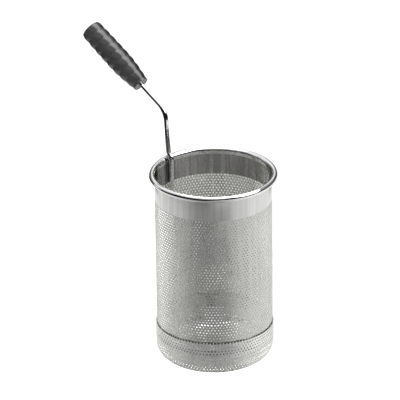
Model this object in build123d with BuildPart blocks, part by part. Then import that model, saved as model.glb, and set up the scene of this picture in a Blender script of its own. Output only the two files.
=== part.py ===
"""Round perforated basket with a welded lift-out handle, for boiling in a deep pan or a pasta cooker.

Millimetres, +Z up. The origin is the middle of the flat floor's underside, on the basket's axis,
and the handle stands out over the rim towards -X.

The basket's sheet is perforated on a staggered lattice. Each round of holes has one hole per flat:
the tube and the cup's skirt are rolled in that many narrow flats, so every hole's edge is a circle
on one flat or two arcs over the bend between two flats.
"""

import os
from math import cos, pi, radians, sin, sqrt

from build123d import *

# Basket sheet
sheet = 0.8
wall_radius = 72.5  # outside of the rolled tube
rim_height = 243.5  # middle of the rim bead above the floor
band_height = 30.5  # unperforated band below the middle of the bead
wall_foot = 28.5  # lower edge of the tube, inside the cup

# Rim
rim_wire_radius = 2.95
curl_inside = 3.0  # the sheet's inner radius round the wire
curl_open_angle = 45  # how far short of the wall the curl stops

# Bottom cup
cup_gap = 0.4  # between the tube and the skirt round it
cup_corner = 18.5  # outside radius of the drawn corner
skirt_top = 46.0

# Perforation
flats = 55
hole_radius = 2.2
web = 0.5  # least sheet left between a hole and an edge
drill_depth = 4.8  # clears the sheet on both sides of a flat's bends

# Handle rod
rod_radius = 3.0
rod_end_chamfer = 0.75
rod_foot = 78.0  # lower end of the rod, inside the basket
rod_wall_gap = 0.05
jog_start = 3.0  # the rod starts to swing out this far above the middle of the bead
jog_rise = 5.5  # and climbs this much as it swings out over the bead
jog_radius = 6.0
rod_over_bead = 73.1  # reach of the rod's axis just above the bead
rod_lean_out = 3.5  # how far the upright drifts outwards between the rim and the bend
bend_height = 63.5  # corner of the main bend, above the middle of the bead
bend_radius = 27.0
grip_slope = 32.7  # degrees above the horizontal
grip_start = 47.6  # along the rod, from the bend's corner to the grip
rod_in_grip = 80.0

# Grip
grip_length = 98.0
grip_radius = 14.5
grip_neck_radius = 10.1
grip_lip_radius = 10.3
grip_lip_length = 3.0
grip_end_radius = 13.5
grip_end_rounding = 1.2
grip_full_from = 42.0  # the taper from the neck ends here
grip_rings = 8
ring_depth = 0.9
grip_bore_radius = 3.02
grip_bore_length = 81.0  # a little deeper than the rod goes in

# Welds
tack_length = 4.0
tack_leg = 2.2  # how far a tack spreads over the wall from the rod's side
tacked_rounds = (2, 8, 14)  # rounds of holes, counted down from the band, with a tack on both sides
saddle_radius = 3.4
seam_angle = 85.0  # round from +X
seam_width = 1.2
seam_proud = 0.3
spot_radius = 1.5
spot_height = 33.2
spotted_flats = range(0, flats, 7)

hole_pitch = 2 * pi * wall_radius / flats
row_pitch = hole_pitch * sqrt(3) / 2
flat_angle = 360 / flats
flat_share = cos(pi / flats)  # from a bend's radius to the middle of a flat
band_foot = rim_height - band_height
wall_middle = wall_radius - sheet / 2  # middle of the sheet's thickness
bead_radius = wall_radius + curl_inside  # circle of the bead's centres
bead_outside = curl_inside + sheet
cup_radius = wall_radius + cup_gap + sheet
floor_radius = cup_radius - cup_corner
wall_inner_flat = (wall_radius - sheet) * flat_share
rod_inside = wall_inner_flat - rod_radius - rod_wall_gap  # reach of the rod's axis inside the basket


def on_flat(column, reach, height):
    """The plane square to a flat at its middle, counted round from the one under the handle."""
    angle = radians(180 + column * flat_angle)
    outward = Vector(cos(angle), sin(angle), 0)
    return Plane(origin=outward * reach + Vector(0, 0, height), z_dir=outward)


def drill_rounds(heights, reach):
    """Cut rounds of holes through the flats, every second round turned by half a flat."""
    places = [
        on_flat(column + (number % 2) / 2, reach - drill_depth / 2, height)
        for number, height in enumerate(heights)
        for column in range(flats)
    ]
    with Locations(*places):
        Cylinder(
            hole_radius,
            drill_depth,
            align=(Align.CENTER, Align.CENTER, Align.MIN),
            mode=Mode.SUBTRACT,
        )


def flat_sided_tube(reach, foot, top):
    """A tube of sheet with narrow flats, from the reach of its outer bends."""
    with BuildSketch(Plane.XY.offset(foot)) as ring:
        RegularPolygon(reach, flats)
        RegularPolygon(reach - sheet, flats, mode=Mode.SUBTRACT)
    extrude(ring.sketch, amount=top - foot)


# Basket wall: the perforated tube, its plain band, and the top edge rolled outwards round the rim wire
wall_round_count = int((band_foot - wall_foot - 2 * hole_radius - web) / row_pitch) + 1
wall_rounds = [band_foot - hole_radius - number * row_pitch for number in range(wall_round_count)]
with BuildPart() as basket_wall:
    flat_sided_tube(wall_radius, wall_foot, band_foot)
    with BuildSketch(Plane.XZ):
        with BuildLine():
            Line((wall_middle, band_foot), (wall_middle, rim_height))
            CenterArc((bead_radius, rim_height), bead_radius - wall_middle, 180, curl_open_angle - 360)
        trace(line_width=sheet)
    revolve(axis=Axis.Z)
    drill_rounds(wall_rounds, wall_radius)

# Rim wire: the round ring that stiffens the rolled edge
with BuildPart() as rim_wire:
    with BuildSketch(Plane.XZ):
        with Locations((bead_radius, rim_height)):
            Circle(rim_wire_radius)
    revolve(axis=Axis.Z)

# Bottom cup: flat floor, drawn corner and a skirt outside the foot of the wall
skirt_round_count = int((skirt_top - cup_corner - 2 * hole_radius - web) / row_pitch) + 1
skirt_rounds = [skirt_top - hole_radius - web - number * row_pitch for number in range(skirt_round_count)]
floor_reach = floor_radius - hole_radius - web
floor_steps = range(-int(floor_reach / row_pitch) - 1, int(floor_reach / row_pitch) + 2)
floor_holes = [
    ((column + (row % 2) / 2) * hole_pitch, (row + 1 / 2) * row_pitch)
    for row in floor_steps
    for column in floor_steps
]
with BuildPart() as bottom_cup:
    flat_sided_tube(cup_radius, cup_corner, skirt_top)
    with BuildSketch(Plane.XZ):
        with BuildLine():
            Line((0, 0), (floor_radius, 0))
            CenterArc((floor_radius, cup_corner), cup_corner, -90, 90)
            Line((cup_radius, cup_corner), (cup_radius - sheet, cup_corner))
            CenterArc((floor_radius, cup_corner), cup_corner - sheet, -90, 90)
            Line((floor_radius, sheet), (0, sheet))
            Line((0, sheet), (0, 0))
        make_face()
    revolve(axis=Axis.Z)
    drill_rounds(skirt_rounds, cup_radius)
    with BuildSketch():
        with Locations(*[spot for spot in floor_holes if Vector(spot).length < floor_reach]):
            Circle(hole_radius)
    extrude(amount=sheet, mode=Mode.SUBTRACT)

# Handle rod: up the inside of the wall, out over the bead, up, and over into the grip
slope = Vector(-cos(radians(grip_slope)), 0, sin(radians(grip_slope)))
bend_corner = Vector(-rod_over_bead - rod_lean_out, 0, rim_height + bend_height)
grip_foot = bend_corner + slope * grip_start
rod_tip = grip_foot + slope * rod_in_grip
with BuildPart() as handle_rod:
    with BuildLine() as rod_path:
        FilletPolyline(
            (-rod_inside, 0, rod_foot),
            (-rod_inside, 0, rim_height + jog_start),
            (-rod_over_bead, 0, rim_height + jog_start + jog_rise),
            bend_corner,
            rod_tip,
            radius=[jog_radius, jog_radius, bend_radius],
        )
    with BuildSketch(Plane.XY.offset(rod_foot)):
        with Locations((-rod_inside, 0)):
            Circle(rod_radius)
    sweep()
    chamfer(handle_rod.edges().group_by(Axis.Z)[0], rod_end_chamfer)

# Handle grip: a moulded sleeve with shallow rings, pressed on the rod
ring_pitch = (grip_length - grip_lip_length) / grip_rings


def over_rings(along):
    """Radius over the rings at a distance along the grip from its neck."""
    if along < grip_full_from:
        return grip_neck_radius + (grip_radius - grip_neck_radius) * sin(pi / 2 * along / grip_full_from)
    past = (along - grip_full_from) / (grip_length - grip_full_from)
    return grip_radius - (grip_radius - grip_end_radius) * past**3


with BuildPart() as handle_grip:
    with BuildSketch(Plane(origin=grip_foot, x_dir=slope, z_dir=(0, 1, 0))):
        with BuildLine():
            ring_edges = [grip_lip_length + number * ring_pitch for number in range(grip_rings + 1)]
            Polyline(
                (ring_edges[0], over_rings(ring_edges[0]) - ring_depth),
                (grip_lip_length, grip_lip_radius),
                (0, grip_lip_radius),
                (0, 0),
                (grip_length, 0),
                (grip_length, over_rings(grip_length) - ring_depth),
            )
            for near, far in zip(ring_edges, ring_edges[1:]):
                ThreePointArc(
                    (near, over_rings(near) - ring_depth),
                    ((near + far) / 2, over_rings((near + far) / 2)),
                    (far, over_rings(far) - ring_depth),
                )
        make_face()
    revolve(axis=Axis(grip_foot, slope))
    fillet(handle_grip.edges().sort_by(Axis(grip_foot, slope))[-1], grip_end_rounding)
    with Locations(Plane(origin=grip_foot, z_dir=slope)):
        Cylinder(
            grip_bore_radius,
            grip_bore_length,
            align=(Align.CENTER, Align.CENTER, Align.MIN),
            mode=Mode.SUBTRACT,
        )

# Rod welds: tacks on both sides of the rod down the wall, and a saddle of weld where it crosses the bead
jog_middle = Vector(-(rod_inside + rod_over_bead) / 2, 0, rim_height + jog_start + jog_rise / 2)
bead_middle = Vector(-bead_radius, 0, rim_height)
saddle_middle = bead_middle + (jog_middle - bead_middle).normalized() * bead_outside
with BuildPart() as rod_welds:
    with Locations(saddle_middle):
        Sphere(saddle_radius)
    with Locations((0, 0, rim_height)):
        Torus(bead_radius, bead_outside, mode=Mode.SUBTRACT)
    add(handle_rod.part, mode=Mode.SUBTRACT)
    for number in tacked_rounds:
        with BuildSketch(Plane.XY.offset(wall_rounds[number] - tack_length / 2)):
            with Locations((-wall_inner_flat, 0)):
                Rectangle(rod_radius, 2 * (rod_radius + tack_leg), align=(Align.MIN, Align.CENTER))
            with Locations((-rod_inside, 0)):
                Circle(rod_radius, mode=Mode.SUBTRACT)
            RegularPolygon(wall_radius - sheet, flats, mode=Mode.INTERSECT)
        extrude(amount=tack_length)

# Seam weld: the raised line inside the plain band where the sheet's two edges meet
with BuildPart() as seam_weld:
    with BuildSketch(Plane.XY.offset(band_foot)):
        with Locations(Rotation(0, 0, seam_angle)):
            with Locations((wall_radius - sheet, 0)):
                Rectangle(2 * seam_proud, seam_width)
        Circle(wall_radius - sheet, mode=Mode.INTERSECT)
    extrude(amount=band_height)

# Spot welds: the buttons that hold the skirt to the foot of the wall, in the gap between them
with BuildPart() as cup_spot_welds:
    with Locations(*[on_flat(column, wall_radius * flat_share, spot_height) for column in spotted_flats]):
        Cylinder(
            spot_radius,
            (cup_radius - sheet - wall_radius) * flat_share,
            align=(Align.CENTER, Align.CENTER, Align.MIN),
        )

os.makedirs("parts", exist_ok=True)
pieces = {
    "basket_wall": basket_wall,
    "rim_wire": rim_wire,
    "bottom_cup": bottom_cup,
    "handle_rod": handle_rod,
    "handle_grip": handle_grip,
    "rod_welds": rod_welds,
    "seam_weld": seam_weld,
    "cup_spot_welds": cup_spot_welds,
}
for name, piece in pieces.items():
    piece.part.label = name
    export_step(piece.part, f"parts/{name}.step", write_pcurves=False)
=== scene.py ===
"""Basket strainer: the visual model in Blender, in metres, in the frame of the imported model.

The perforated wall and cup are built here hole by hole, and the rolled rim with them. The CAD nodes
that are already the right shape (rim wire, rod, grip and welds) stay and get their materials here.
"""

from math import atan2, cos, pi, radians, sin, sqrt, tau

import bmesh
import bpy
from mathutils import Matrix, Vector
from mathutils.geometry import delaunay_2d_cdt


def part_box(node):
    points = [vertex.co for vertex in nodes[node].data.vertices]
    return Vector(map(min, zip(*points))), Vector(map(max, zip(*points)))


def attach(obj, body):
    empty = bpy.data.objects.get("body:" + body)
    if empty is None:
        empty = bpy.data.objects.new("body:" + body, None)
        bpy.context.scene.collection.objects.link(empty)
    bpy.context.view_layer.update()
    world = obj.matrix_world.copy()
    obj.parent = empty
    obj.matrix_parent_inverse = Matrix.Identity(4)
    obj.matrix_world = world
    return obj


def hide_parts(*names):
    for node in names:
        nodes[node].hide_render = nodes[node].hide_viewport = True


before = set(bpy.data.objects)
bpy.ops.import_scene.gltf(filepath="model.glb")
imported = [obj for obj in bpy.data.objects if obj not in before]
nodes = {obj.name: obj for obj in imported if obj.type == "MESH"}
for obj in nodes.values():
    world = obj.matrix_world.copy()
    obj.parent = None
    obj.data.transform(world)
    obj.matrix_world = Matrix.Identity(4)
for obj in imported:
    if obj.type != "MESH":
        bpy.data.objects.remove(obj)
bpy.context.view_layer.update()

MM = 0.001
scene = bpy.context.scene

# Sizes read from the frame
wall_low, wall_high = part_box("basket_wall")
cup_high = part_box("bottom_cup")[1]
wire_low, wire_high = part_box("rim_wire")
rim_height = (wire_low.z + wire_high.z) / 2
wall_foot = wall_low.z
bead_outside = wall_high.z - rim_height
bead_radius = wall_high.x - bead_outside
skirt_top = cup_high.z
cup_radius = cup_high.x

# Sizes of the sheet and its forming
sheet = 0.8 * MM
curl_inside = bead_outside - sheet  # the sheet's inner radius round the wire
wall_radius = bead_radius - curl_inside
curl_angle = radians(315)
curl_steps = 42
cup_corner = 18.5 * MM
corner_length = cup_corner * pi / 2
band_height = 30.5 * MM
band_foot = rim_height - band_height
band_steps = 8
floor_radius = cup_radius - cup_corner

# Perforation: each hole sits in a cell that is four columns wide
holes_round = 110
hole_radius = 1.1 * MM
hole_sides = 12
cell_columns = 4
columns = cell_columns * holes_round
hole_pitch = tau * wall_radius / holes_round
hole_share = hole_radius / hole_pitch
row_ratio = sqrt(3) / 2  # row pitch to hole pitch, for holes at the corners of equal triangles
row_pitch = hole_pitch * row_ratio
wall_rows = 49
plain_margin = 1.0 * MM  # least sheet without holes along an edge
merge_reach = 0.001 * MM  # points nearer than this are one point

# The grip
grip_slope = radians(32.7)

# The camera
camera_azimuth = radians(41)  # round from the front towards +X
camera_elevation = radians(24.6)
camera_roll = radians(0.7)
camera_distance = 5.0
frame_width = 0.4928  # what the picture takes in at the object
rim_right_of_middle = 16.4 * MM  # the rim's centre, from the middle of the picture
rim_above_middle = 31.5 * MM


class Sheet:
    """One face of a metal sheet, as points at an angle round the axis and a way along its profile."""

    def __init__(self, profile):
        self.profile = profile
        self.spots = []
        self.faces = []

    def ring(self, along):
        """A ring of points. Returns the number of the first one."""
        first = len(self.spots)
        self.spots += [(tau * column / columns, along) for column in range(columns)]
        return first

    def plain(self, low, high):
        """Unperforated sheet between two rings."""
        for column in range(columns):
            after = (column + 1) % columns
            self.faces.append((low + column, low + after, high + after, high + column))

    def plain_rings(self, low, ways):
        """Unperforated sheet from a ring on through more rings. Returns the last one."""
        for along in ways:
            high = self.ring(along)
            self.plain(low, high)
            low = high
        return low

    def round_of_holes(self, low, high, turned):
        """A round of holes between two rings, turned by half a hole or not."""
        low_way = self.spots[low][1]
        high_way = self.spots[high][1]
        middle = (low_way + high_way) / 2
        reach = self.profile(middle, 0)[0]
        column_angle = tau / columns
        half_cell = cell_columns // 2
        hole_angle = cell_columns * column_angle * hole_share
        first_side = len(self.spots)
        starts = [cell_columns * cell + half_cell * turned for cell in range(holes_round)]
        self.spots += [(column_angle * start, middle) for start in starts]
        for cell, start in enumerate(starts):
            first = len(self.spots)
            hole_middle = column_angle * (start + half_cell)
            for corner in range(hole_sides):
                turn = tau * corner / hole_sides
                around = hole_middle + hole_angle * cos(turn)
                self.spots.append((around, middle + hole_angle * reach * sin(turn)))
            across = [(start + step) % columns for step in range(cell_columns + 1)]
            border = [first_side + (cell + 1) % holes_round]
            border += [high + column for column in reversed(across)]
            border += [first_side + cell]
            border += [low + column for column in across]
            for corner in range(hole_sides):
                after = (corner + 1) % hole_sides
                self.faces.append((first + corner, border[corner], border[after], first + after))

    def perforated_rings(self, low, ways):
        """Rounds of holes from a ring on through more rings. Returns the last one."""
        for number, along in enumerate(ways):
            high = self.ring(along)
            self.round_of_holes(low, high, number % 2)
            low = high
        return low

    def solid(self, name):
        """The sheet with its thickness, its edges and the walls of its holes closed.

        The faces of its inner side have material slot 1, and all others slot 0.
        """
        corners = []
        for depth in (0, sheet):
            for angle, along in self.spots:
                reach, height = self.profile(along, depth)
                corners.append((reach * cos(angle), reach * sin(angle), height))
        twin = len(self.spots)
        faces = list(self.faces)
        faces += [tuple(corner + twin for corner in reversed(face)) for face in self.faces]
        edges = {(a, b) for face in self.faces for a, b in zip(face, face[1:] + face[:1])}
        free = [(a, b) for a, b in edges if (b, a) not in edges]
        faces += [(b, a, a + twin, b + twin) for a, b in sorted(free)]
        piece = new_piece(name, corners, faces)
        outer_faces = len(self.faces)
        sides = [int(outer_faces <= number < 2 * outer_faces) for number in range(len(faces))]
        piece.data.materials.append(None)
        piece.data.materials.append(None)
        piece.data.polygons.foreach_set("material_index", sides)
        return piece


def new_piece(name, corners, faces, sharp=radians(38)):
    """A smooth-shaded mesh object with its creases sharp."""
    mesh = bpy.data.meshes.new(name)
    mesh.from_pydata(corners, [], faces)
    mesh.polygons.foreach_set("use_smooth", [True] * len(mesh.polygons))
    mesh.set_sharp_from_angle(angle=sharp)
    piece = bpy.data.objects.new(name, mesh)
    scene.collection.objects.link(piece)
    return piece


def wall_profile(along, depth):
    """Reach and height on the wall, its band and its curl, a way up from the floor."""
    if along <= rim_height:
        return wall_radius - depth, along
    radius = curl_inside + depth
    turn = (along - rim_height) / (curl_inside + sheet / 2)
    return bead_radius - radius * cos(turn), rim_height + radius * sin(turn)


def cup_profile(along, depth):
    """Reach and height on the cup, from its floor's edge. Ways on the floor are negative."""
    if along <= 0:
        return floor_radius + along, depth
    radius = cup_corner - depth
    if along < corner_length:
        turn = along / cup_corner
        return floor_radius + radius * sin(turn), cup_corner - radius * cos(turn)
    return cup_radius - depth, cup_corner + along - corner_length


def even_ways(start, end, count):
    """Ways that part a stretch evenly, without its start."""
    return [start + (end - start) * step / count for step in range(1, count + 1)]


# The wall: rounds of holes from the band down, in two pieces that meet edge to edge
upper_rows = (wall_rows + 1) // 2
rows_foot = band_foot - wall_rows * row_pitch
rows_middle = band_foot - upper_rows * row_pitch

lower_sheet = Sheet(wall_profile)
ring = lower_sheet.plain_rings(lower_sheet.ring(wall_foot), [rows_foot])
lower_sheet.perforated_rings(ring, even_ways(rows_foot, rows_middle, wall_rows - upper_rows))
wall_lower = lower_sheet.solid("wall_lower")

upper_sheet = Sheet(wall_profile)
ring = upper_sheet.ring(rows_middle)
upper_sheet.perforated_rings(ring, even_ways(rows_middle, band_foot, upper_rows))
wall_upper = upper_sheet.solid("wall_upper")

# The plain band, and its top edge curled round the rim wire
curl_start = rim_height - bead_outside
band_sheet = Sheet(wall_profile)
band_sheet.plain_rings(band_sheet.ring(band_foot), even_ways(band_foot, curl_start, band_steps))
rim_band = band_sheet.solid("rim_band")

curl_length = curl_angle * (curl_inside + sheet / 2)
curl_sheet = Sheet(wall_profile)
ring = curl_sheet.plain_rings(curl_sheet.ring(curl_start), [rim_height])
curl_sheet.plain_rings(ring, even_ways(rim_height, rim_height + curl_length, curl_steps))
rim_curl = curl_sheet.solid("rim_curl")


def floor_hole_middles():
    """The floor's holes on a flat lattice with the wall's pitch, clear of its edge."""
    limit = floor_radius - hole_radius - plain_margin
    reach = int(floor_radius / row_pitch)
    steps = range(-reach - 1, reach + 2)
    middles = [
        Vector(((column + row % 2 / 2) * hole_pitch, (row + 0.5) * row_pitch))
        for row in steps
        for column in steps
    ]
    return [middle for middle in middles if middle.length < limit]


def perforated_floor(cup, edge):
    """Fill a ring of the cup's sheet with a flat floor that has its holes left out."""
    points = [
        Vector((floor_radius * cos(tau * column / columns), floor_radius * sin(tau * column / columns)))
        for column in range(columns)
    ]
    loops = [list(range(columns))]
    for middle in floor_hole_middles():
        loops.append(list(range(len(points), len(points) + hole_sides)))
        for corner in range(hole_sides):
            turn = tau * corner / hole_sides
            points.append(middle + Vector((cos(turn), sin(turn))) * hole_radius)
    hole_of = {point: number for number, loop in enumerate(loops[1:]) for point in loop}
    sides = [(a, b) for loop in loops for a, b in zip(loop, loop[1:] + loop[:1])]
    flat_points, _, flat_faces, sources, _, _ = delaunay_2d_cdt(points, sides, [], 1, merge_reach)
    cup_number = {}
    for number, point in enumerate(flat_points):
        source = sources[number][0]
        if source < columns:
            cup_number[number] = edge + source
        else:
            cup_number[number] = len(cup.spots)
            cup.spots.append((atan2(point.y, point.x), point.length - floor_radius))
    for face in flat_faces:
        holes = {hole_of.get(sources[point][0]) for point in face}
        if len(holes) > 1 or None in holes:
            a, b, c = (flat_points[point] for point in face)
            upwards = (b - a).cross(c - a) > 0
            turned = face[::-1] if upwards else face
            cup.faces.append(tuple(cup_number[point] for point in turned))


# The cup: rounds of holes that shrink with the corner's radius, and the perforated floor
cup_sheet = Sheet(cup_profile)
floor_edge = cup_sheet.ring(0)
cup_length = corner_length + skirt_top - cup_corner
cup_ways = [plain_margin]
while cup_ways[-1] < cup_length - plain_margin:
    reach = cup_profile(cup_ways[-1], 0)[0]
    cup_ways.append(cup_ways[-1] + tau * reach / holes_round * row_ratio)
stretch = (cup_length - 2 * plain_margin) / (cup_ways[-1] - plain_margin)
cup_ways = [plain_margin + (along - plain_margin) * stretch for along in cup_ways]
ring = cup_sheet.plain_rings(floor_edge, cup_ways[:1])
ring = cup_sheet.perforated_rings(ring, cup_ways[1:])
cup_sheet.plain_rings(ring, [cup_length])
perforated_floor(cup_sheet, floor_edge)
cup_mesh = cup_sheet.solid("cup_mesh")

for piece in (wall_lower, wall_upper, rim_band, rim_curl):
    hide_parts("basket_wall")
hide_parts("bottom_cup")
for piece in (wall_lower, wall_upper, rim_band, rim_curl, cup_mesh):
    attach(piece, "root")


# Materials


def grey(value):
    """A grey in linear light."""
    return (value, value, value)


def stops_ramp(tree, factor, stops):
    """A colour ramp with (position, colour) stops."""
    made = tree.nodes.new("ShaderNodeValToRGB")
    elements = made.color_ramp.elements
    while len(elements) < len(stops):
        elements.new(1.0)
    for element, (position, colour) in zip(elements, stops):
        element.position = position
        element.color = (*colour, 1.0)
    tree.links.new(factor, made.inputs["Fac"])
    return made.outputs["Color"]


def multiplied(tree, first, second):
    """Two colours multiplied."""
    made = tree.nodes.new("ShaderNodeMix")
    made.data_type = "RGBA"
    made.blend_type = "MULTIPLY"
    made.inputs["Factor"].default_value = 1.0
    tree.links.new(first, made.inputs["A"])
    tree.links.new(second, made.inputs["B"])
    return made.outputs["Result"]


class Shader:
    """A node material on one Principled shader, driven from the object's own coordinates."""

    def __init__(self, name, **sockets):
        self.material = bpy.data.materials.new(name)
        self.material.use_nodes = True
        self.tree = self.material.node_tree
        self.surface = self.tree.nodes["Principled BSDF"]
        for socket, value in sockets.items():
            self.surface.inputs[socket.replace("_", " ")].default_value = value
        self.coordinates = self.tree.nodes.new("ShaderNodeTexCoord").outputs["Object"]

    def link(self, output, target):
        self.tree.links.new(output, target)

    def node(self, kind, **settings):
        made = self.tree.nodes.new(kind)
        for name, value in settings.items():
            setattr(made, name, value)
        return made

    def grain(self, scale, detail=4.0, roughness=0.55, stretch=(1, 1, 1)):
        """Noise of a scale per metre, stretched along the axes."""
        mapping = self.node("ShaderNodeMapping")
        mapping.inputs["Scale"].default_value = stretch
        texture = self.node("ShaderNodeTexNoise")
        texture.inputs["Scale"].default_value = scale
        texture.inputs["Detail"].default_value = detail
        texture.inputs["Roughness"].default_value = roughness
        self.link(self.coordinates, mapping.inputs["Vector"])
        self.link(mapping.outputs["Vector"], texture.inputs["Vector"])
        return texture.outputs["Fac"]

    def ramp(self, factor, stops):
        return stops_ramp(self.tree, factor, stops)

    def spread(self, factor, low, high, start=0.3, end=0.7):
        """The factor from start to end, as a number from low to high."""
        made = self.node("ShaderNodeMapRange")
        made.inputs["From Min"].default_value = start
        made.inputs["From Max"].default_value = end
        made.inputs["To Min"].default_value = low
        made.inputs["To Max"].default_value = high
        self.link(factor, made.inputs["Value"])
        return made.outputs["Result"]

    def multiply(self, first, second):
        return multiplied(self.tree, first, second)

    def bump(self, height, distance, strength=1.0, over=None):
        """A bump of a depth in metres, over another bump if one is given."""
        made = self.node("ShaderNodeBump")
        made.inputs["Strength"].default_value = strength
        made.inputs["Distance"].default_value = distance
        self.link(height, made.inputs["Height"])
        if over:
            self.link(over, made.inputs["Normal"])
        return made.outputs["Normal"]

    def cup_edge_darkening(self):
        """A dark line painted on the wall along the cup's top edge, fading upwards unevenly."""
        parts = self.node("ShaderNodeSeparateXYZ")
        self.link(self.coordinates, parts.inputs["Vector"])
        height = self.spread(parts.outputs["Z"], 0, 1, start=darkening_foot, end=darkening_top)
        uneven = self.spread(self.grain(70, detail=2), -darkening_wander, darkening_wander)
        total = self.node("ShaderNodeMath", operation="ADD")
        self.link(height, total.inputs[0])
        self.link(uneven, total.inputs[1])
        return self.ramp(total.outputs["Value"], darkening_stops)

    def finish(self, colour, rough, normal):
        self.link(colour, self.surface.inputs["Base Color"])
        self.link(rough, self.surface.inputs["Roughness"])
        self.link(normal, self.surface.inputs["Normal"])
        return self.material


# Finishes, some with painted light and shade in their colours. Each colour pair is a dark and a light
# one, which clouds or streaks run between
brushed = (1, 1, 0.05)  # noise drawn out into upright streaks
band_brushed = (1, 1, 0.035)
rod_brushed = (1, 1, 0.04)
draw_lines = (1, 1, 16)  # noise drawn out round the axis
sheet_colours = ((0.60, 0.602, 0.57), (0.68, 0.68, 0.655))
# The same sheet as sheet_colours, painted lighter for the upper wall's inner side: painted light
lit_inner_colours = ((0.84, 0.842, 0.80), (0.92, 0.92, 0.89))
# The cup's sheet painted lighter than the wall's, as painted light on its corner and skirt
lit_cup_colours = ((0.86, 0.862, 0.82), (0.95, 0.95, 0.92))
band_colours = ((0.60, 0.60, 0.58), (0.74, 0.74, 0.72))
# The band's own steel painted darker for its inner side: painted shade
band_shaded_inner_colours = ((0.26, 0.255, 0.25), (0.60, 0.60, 0.59))
# A dark line painted on the wall just over the cup's top edge: its foot and top, how unevenly it
# wanders, and its colours
darkening_foot = skirt_top - 1 * MM
darkening_top = skirt_top + 5 * MM
darkening_wander = 0.12  # share of the stain's height
darkening_stops = [
    (0.0, grey(1.0)),
    (0.08, (0.16, 0.15, 0.13)),
    (0.42, (0.22, 0.21, 0.19)),
    (0.62, grey(1.0)),
]


def perforated_steel(name, colours, darkened=False, drawn=False):
    """Satin sheet, with a dark line painted over the cup's edge or draw lines if asked."""
    dark, light = colours
    shader = Shader(name, Metallic=1.0)
    cloud = shader.grain(14, detail=3)
    speckle = shader.grain(900, detail=2)
    streaks = shader.grain(260, detail=3, stretch=brushed)
    mottled = shader.ramp(speckle, [(0.35, grey(0.90)), (0.65, grey(1.0))])
    colour = shader.multiply(shader.ramp(cloud, [(0.3, dark), (0.7, light)]), mottled)
    rough = shader.spread(streaks, 0.20, 0.30)
    if darkened:
        colour = shader.multiply(colour, shader.cup_edge_darkening())
    waves = shader.bump(cloud, 0.6 * MM, strength=0.5)
    normal = shader.bump(streaks, 0.02 * MM, strength=0.5, over=waves)
    if drawn:
        lines = shader.grain(22, detail=4, roughness=0.7, stretch=draw_lines)
        shaded = shader.ramp(lines, [(0.40, grey(0.80)), (0.56, grey(1.0))])
        colour = shader.multiply(colour, shaded)
        normal = shader.bump(lines, 0.12 * MM, strength=0.6, over=normal)
    return shader.finish(colour, rough, normal)


def band_steel(name, colours):
    """Bright sheet with upright streaks."""
    dark, light = colours
    shader = Shader(name, Metallic=1.0)
    cloud = shader.grain(18, detail=3)
    streaks = shader.grain(190, detail=5, roughness=0.65, stretch=band_brushed)
    streaked = shader.ramp(streaks, [(0.3, dark), (0.7, light)])
    clouded = shader.ramp(cloud, [(0.3, grey(0.90)), (0.7, grey(1.0))])
    rough = shader.spread(cloud, 0.10, 0.18)
    waves = shader.bump(cloud, 0.5 * MM, strength=0.6)
    normal = shader.bump(streaks, 0.03 * MM, strength=0.6, over=waves)
    return shader.finish(shader.multiply(streaked, clouded), rough, normal)


def bright_rod():
    """Polished round bar with fine scratches along it."""
    shader = Shader("bright_rod", Metallic=1.0)
    cloud = shader.grain(60, detail=3)
    scratches = shader.grain(1400, detail=2, stretch=rod_brushed)
    colour = shader.ramp(cloud, [(0.3, grey(0.70)), (0.7, grey(0.80))])
    rough = shader.spread(scratches, 0.06, 0.15)
    waves = shader.bump(cloud, 0.08 * MM, strength=0.4)
    normal = shader.bump(scratches, 0.008 * MM, strength=0.4, over=waves)
    return shader.finish(colour, rough, normal)


def weld_steel():
    """Rough weld metal with straw and blue heat tints."""
    shader = Shader("weld_steel", Metallic=1.0)
    cloud = shader.grain(320, detail=3)
    fine = shader.grain(1500, detail=3)
    tint = [(0.25, (0.42, 0.38, 0.31)), (0.5, grey(0.56)), (0.75, (0.46, 0.48, 0.55))]
    rough = shader.spread(fine, 0.28, 0.48)
    lumps = shader.bump(cloud, 0.3 * MM, strength=0.6)
    normal = shader.bump(fine, 0.04 * MM, strength=0.5, over=lumps)
    return shader.finish(shader.ramp(cloud, tint), rough, normal)


def grip_plastic():
    """Black moulded plastic with a fine grain."""
    shader = Shader("grip_plastic", Specular_IOR_Level=0.5)
    cloud = shader.grain(45, detail=3)
    fine = shader.grain(2600, detail=3)
    colour = shader.ramp(cloud, [(0.3, grey(0.007)), (0.7, grey(0.010))])
    rough = shader.spread(cloud, 0.19, 0.24)
    normal = shader.bump(fine, 0.03 * MM, strength=0.4)
    return shader.finish(colour, rough, normal)


def paint(piece, material, inside=None):
    """The material in every slot of a piece, with another one on a sheet's inner side if given."""
    for place in piece.material_slots:
        place.material = material
    if inside:
        piece.material_slots[1].material = inside


perforated = perforated_steel("perforated_steel", sheet_colours)
# The lower wall, with the dark line painted over the cup's top edge
darkened = perforated_steel("darkened_steel", sheet_colours, darkened=True)
# The cup: real draw lines, on a sheet painted lighter as painted light
drawn = perforated_steel("drawn_lit_steel", lit_cup_colours, drawn=True)
# The upper wall's inner side, painted lighter than its outer side: painted light
inner = perforated_steel("lit_inner_steel", lit_inner_colours)
band = band_steel("band_steel", band_colours)
# The band's inner side, painted darker than its outer side: painted shade
shaded_band_inside = band_steel("shaded_band_inside_steel", band_shaded_inner_colours)
rod_finish = bright_rod()
weld = weld_steel()
plastic = grip_plastic()
paint(wall_lower, darkened)
paint(wall_upper, perforated, inner)
paint(cup_mesh, drawn)
paint(rim_band, band, shaded_band_inside)
paint(rim_curl, rod_finish)
paint(nodes["rim_wire"], rod_finish)
paint(nodes["handle_rod"], rod_finish)
paint(nodes["handle_grip"], plastic)
for name in ("rod_welds", "seam_weld", "cup_spot_welds"):
    paint(nodes[name], weld)


# The studio: a floor, softboxes and a lamp, and what only mirrors see, which is a dome and cards


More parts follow.
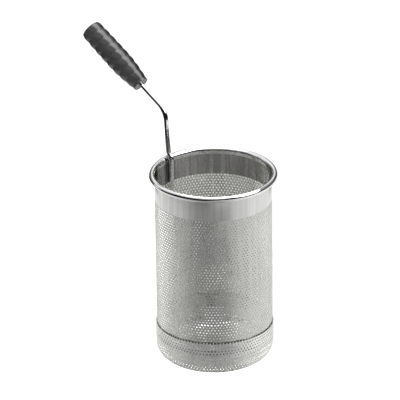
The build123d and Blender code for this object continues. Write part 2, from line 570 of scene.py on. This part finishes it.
def stage_piece(name, mesh, height, turn, material):
    """A piece of the studio, turned about the vertical."""
    made = bpy.data.objects.new(name, mesh)
    made.location = (0, 0, height)
    made.rotation_euler = (0, 0, turn)
    made.data.materials.append(material)
    scene.collection.objects.link(made)
    return made


def disc_mesh(name, inside, outside, parts=96):
    """A flat ring."""
    circle = [(cos(tau * part / parts), sin(tau * part / parts)) for part in range(parts)]
    corners = [(x * reach, y * reach, 0) for reach in (inside, outside) for x, y in circle]
    after = [(part + 1) % parts for part in range(parts)]
    faces = [(part, part + parts, after[part] + parts, after[part]) for part in range(parts)]
    mesh = bpy.data.meshes.new(name)
    mesh.from_pydata(corners, [], faces)
    return mesh


def dome_shell(name):
    """The inside of the studio as a sphere."""
    shape = bmesh.new()
    bmesh.ops.create_uvsphere(shape, u_segments=64, v_segments=32, radius=dome_reach)
    mesh = bpy.data.meshes.new(name)
    shape.to_mesh(mesh)
    shape.free()
    return mesh


def only_in_mirrors(piece):
    """Let nothing but reflections show a piece."""
    piece.visible_camera = False
    piece.visible_diffuse = False
    piece.visible_transmission = False
    piece.visible_volume_scatter = False
    piece.visible_shadow = False


def glow_material(name, levels_of):
    """A card that glows by itself, at levels that a function reads from the card's own coordinates."""
    material = bpy.data.materials.new(name)
    material.use_nodes = True
    tree = material.node_tree
    tree.nodes.clear()
    glow = tree.nodes.new("ShaderNodeEmission")
    output = tree.nodes.new("ShaderNodeOutputMaterial")
    place = tree.nodes.new("ShaderNodeTexCoord").outputs["Object"]
    tree.links.new(levels_of(tree, place), glow.inputs["Color"])
    tree.links.new(glow.outputs["Emission"], output.inputs["Surface"])
    return material


def level_ramp(tree, factor, stops):
    """Grey levels by position."""
    return stops_ramp(tree, factor, [(position, grey(level)) for position, level in stops])


def round_levels(stops):
    """Levels by the angle from the way to the camera, in degrees, growing to its right."""

    def levels(tree, place):
        texture = tree.nodes.new("ShaderNodeTexGradient")
        texture.gradient_type = "RADIAL"
        tree.links.new(place, texture.inputs["Vector"])
        turned = [(0.5 + angle / 360, level) for angle, level in stops]
        return level_ramp(tree, texture.outputs["Fac"], turned)

    return levels


def dome_levels(tree, place):
    """Levels by height in front and at the back, blended, and dimmed towards one side."""
    unit = tree.nodes.new("ShaderNodeVectorMath")
    unit.operation = "NORMALIZE"
    parts = tree.nodes.new("ShaderNodeSeparateXYZ")
    tree.links.new(place, unit.inputs[0])
    tree.links.new(unit.outputs["Vector"], parts.inputs["Vector"])
    front = level_ramp(tree, parts.outputs["Z"], dome_front)
    back = level_ramp(tree, parts.outputs["Z"], dome_back)
    blend = tree.nodes.new("ShaderNodeMapRange")
    blend.inputs["From Min"].default_value = -dome_blend
    blend.inputs["From Max"].default_value = dome_blend
    tree.links.new(parts.outputs["X"], blend.inputs["Value"])
    mix = tree.nodes.new("ShaderNodeMix")
    mix.data_type = "RGBA"
    tree.links.new(blend.outputs["Result"], mix.inputs["Factor"])
    tree.links.new(back, mix.inputs["A"])
    tree.links.new(front, mix.inputs["B"])
    side = level_ramp(tree, parts.outputs["Y"], dome_side)
    return multiplied(tree, mix.outputs["Result"], side)


floor_reach = 9
floor_depth = -0.2 * MM
floor_level = 0.88
floor_roughness = 0.9
floor_material = bpy.data.materials.new("studio_floor")
floor_material.use_nodes = True
floor_surface = floor_material.node_tree.nodes["Principled BSDF"]
floor_surface.inputs["Base Color"].default_value = (*grey(floor_level), 1)
floor_surface.inputs["Roughness"].default_value = floor_roughness
stage_piece("studio_floor", disc_mesh("studio_floor", 0, floor_reach), floor_depth, 0, floor_material)

# Cards that lie just over the floor, one round the other: name, inner reach, outer reach, levels
camera_turn = camera_azimuth - pi / 2
card_height = 0.1 * MM
shade_reach = 0.53
table_reach = 0.62
dome_reach = 2.2
near_stops = [(-112, 1.0), (-62, 0.7), (-34, 0.40), (0, 0.34), (21, 0.42), (40, 0.75), (73, 1.05)]
edge_stops = [(-145, 0.03), (-125, 1.0)] + near_stops[1:] + [(125, 1.05), (145, 0.03)]
far_stops = [(-170, 0.9), (-150, 0.02), (-12, 0.02), (10, 0.9)]
cards = [
    ("mirror_near_floor", 0, shade_reach, near_stops),
    ("mirror_table_edge", shade_reach, table_reach, edge_stops),
    ("mirror_far_floor", table_reach, dome_reach, far_stops),
]
for name, inside, outside, stops in cards:
    glow = glow_material(name, round_levels(stops))
    only_in_mirrors(stage_piece(name, disc_mesh(name, inside, outside), card_height, camera_turn, glow))

# The dome's levels, by the parts of a direction: up, and to the side for dome_side
dome_front = [(0.0, 0.01), (0.62, 0.02), (0.78, 0.9)]
dome_back = [(0.0, 0.01), (0.12, 0.01), (0.16, 0.18), (0.42, 0.22), (0.5, 1.1)]
dome_side = [(0.2, 1.0), (0.45, 0.3)]
dome_blend = 0.25
dome_glow = glow_material("mirror_dome", dome_levels)
only_in_mirrors(stage_piece("mirror_dome", dome_shell("mirror_dome"), 0, camera_turn, dome_glow))

# The camera looks at the rim's middle, set off by what the picture leaves on each side of it
camera_data = bpy.data.cameras.new("camera")
camera_data.sensor_width = 36
camera_data.lens = camera_data.sensor_width * camera_distance / frame_width
camera_data.clip_start = 0.1
camera_data.clip_end = 100
camera = bpy.data.objects.new("camera", camera_data)
towards_camera = Vector(
    (
        sin(camera_azimuth) * cos(camera_elevation),
        -cos(camera_azimuth) * cos(camera_elevation),
        sin(camera_elevation),
    )
)
camera_right = Vector((cos(camera_azimuth), sin(camera_azimuth), 0))
camera_up = towards_camera.cross(camera_right)
turned_right = camera_right * cos(camera_roll) - camera_up * sin(camera_roll)
turned_up = camera_up * cos(camera_roll) + camera_right * sin(camera_roll)
rim_middle = Vector((0, 0, rim_height))
aim = rim_middle - turned_right * rim_right_of_middle - turned_up * rim_above_middle
turn = Matrix((turned_right, turned_up, towards_camera)).transposed()
camera.matrix_world = Matrix.Translation(aim + towards_camera * camera_distance) @ turn.to_4x4()
scene.collection.objects.link(camera)
scene.camera = camera

# The grip, for the softboxes that it mirrors
grip_low, grip_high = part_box("handle_grip")
grip_middle = (grip_low + grip_high) / 2
grip_axis = Vector((-cos(grip_slope), 0, sin(grip_slope)))
grip_face = (towards_camera - grip_axis * towards_camera.dot(grip_axis)).normalized()
grip_side = grip_axis.cross(grip_face)


def softbox(name, share, distance, size, watts):
    """A light along the grip, mirrored by its line a share of its half width right of its middle.

    It shows in reflections and doesn't light the floor.
    """
    normal = grip_side * share + grip_face * sqrt(1 - share**2)
    back = (2 * normal.dot(towards_camera) * normal - towards_camera).normalized()
    across = back.cross(grip_axis).normalized()
    along = across.cross(back)
    light = bpy.data.lights.new(name, "AREA")
    light.shape = "RECTANGLE"
    light.size, light.size_y = size
    light.energy = watts
    made = bpy.data.objects.new(name, light)
    turn = Matrix((along, across, back)).transposed()
    made.matrix_world = Matrix.Translation(grip_middle + back * distance) @ turn.to_4x4()
    made.visible_diffuse = False
    scene.collection.objects.link(made)


softbox("key", share=0.54, distance=1.3, size=(3.2, 1.0), watts=52)
softbox("fill", share=-0.80, distance=1.5, size=(2.6, 0.6), watts=6.5)

# A lamp at the camera lights the floor and keeps the shadows behind what throws them
front_lamp = bpy.data.lights.new("front", "AREA")
front_lamp.shape = "DISK"
front_lamp.size = 0.5
front_lamp.energy = 1150
front = bpy.data.objects.new("front", front_lamp)
front.matrix_world = camera.matrix_world
front.visible_glossy = False
scene.collection.objects.link(front)

world = bpy.data.worlds.new("studio")
world.use_nodes = True
background = world.node_tree.nodes["Background"]
background.inputs["Color"].default_value = (*grey(1.0), 1)
background.inputs["Strength"].default_value = 0.45
scene.world = world
scene.view_settings.view_transform = "Standard"
